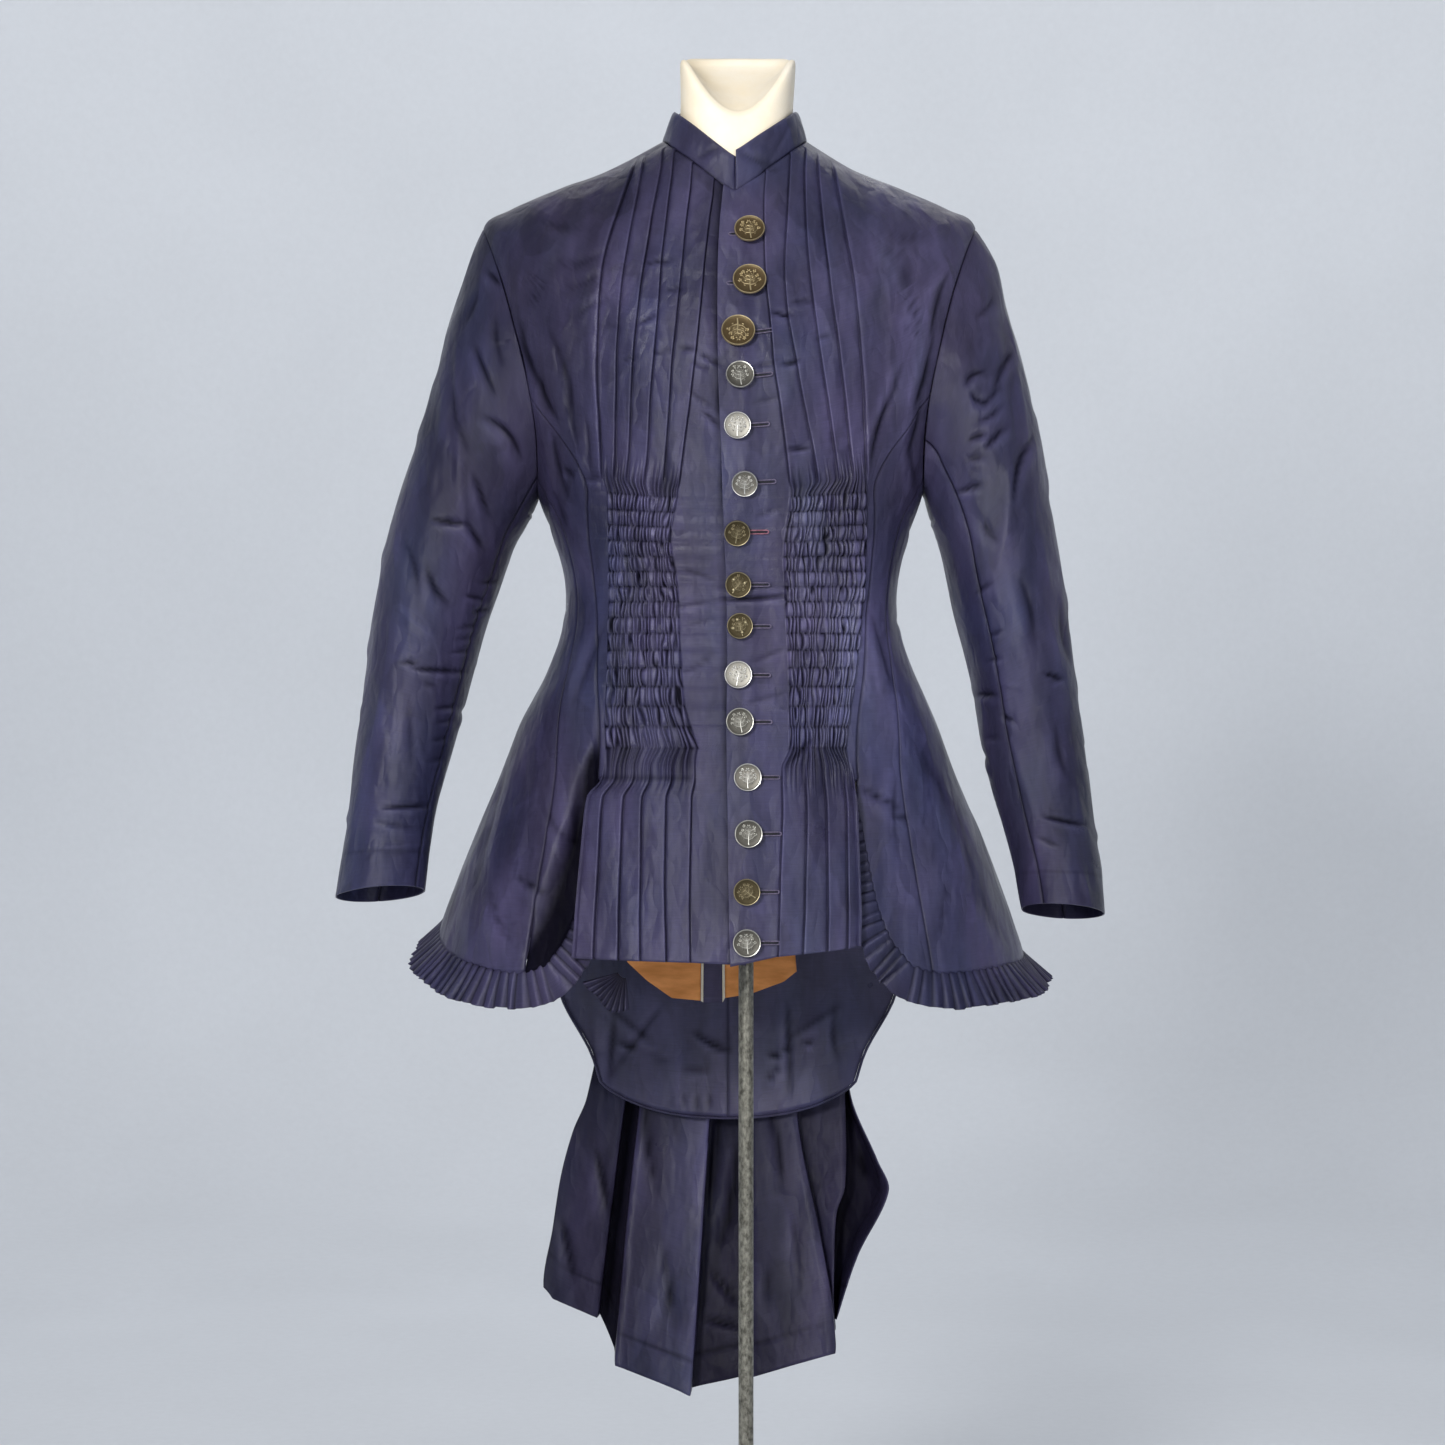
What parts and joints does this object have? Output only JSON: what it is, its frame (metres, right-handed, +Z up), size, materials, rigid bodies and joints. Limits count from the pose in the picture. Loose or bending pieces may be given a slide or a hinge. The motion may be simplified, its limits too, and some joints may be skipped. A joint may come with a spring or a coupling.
{
  "type": "bustle-era bodice jacket on a limbless dress form stand",
  "caption": "Bustle-era silk bodice jacket with tucked fronts, a smocked waist, pleated frills and a long pleated tail, on a limbless dress form on a metal stand.",
  "frame": {"origin": "middle of the stand base's underside, on the floor", "axes": "+Z up, -Y the way the wearer faces, +X the wearer's left"},
  "size_m": [0.5991, 0.4543, 1.47],
  "materials": {
    "silk": "satin",
    "lining_cotton": "matte",
    "button_metal": "satin",
    "form_linen": "matte",
    "stand_metal": "satin"
  },
  "bodies": {
    "root": {"back_left": "silk", "back_right": "silk", "button_01": "button_metal", "button_02": "button_metal", "button_03": "button_metal", "button_04": "button_metal", "button_05": "button_metal", "button_06": "button_metal", "button_07": "button_metal", "button_08": "button_metal", "button_09": "button_metal", "button_10": "button_metal", "button_11": "button_metal", "button_12": "button_metal", "button_13": "button_metal", "button_14": "button_metal", "button_15": "button_metal", "collar": "silk", "dress_form": "form_linen", "frill_left": "silk", "frill_right": "silk", "front_left": "silk", "front_right": "silk", "hem_piping": "silk", "lining_left": "lining_cotton", "lining_right": "lining_cotton", "lining_strip": "silk", "side_back_left": "silk", "side_back_right": "silk", "side_front_left": "silk", "side_front_right": "silk", "sleeve_under_left": "silk", "sleeve_under_right": "silk", "sleeve_upper_left": "silk", "sleeve_upper_right": "silk", "stand_base": "stand_metal", "stand_rod": "stand_metal", "tail": "silk", "underarm_left": "silk", "underarm_right": "silk"}
  },
  "joints": []
}
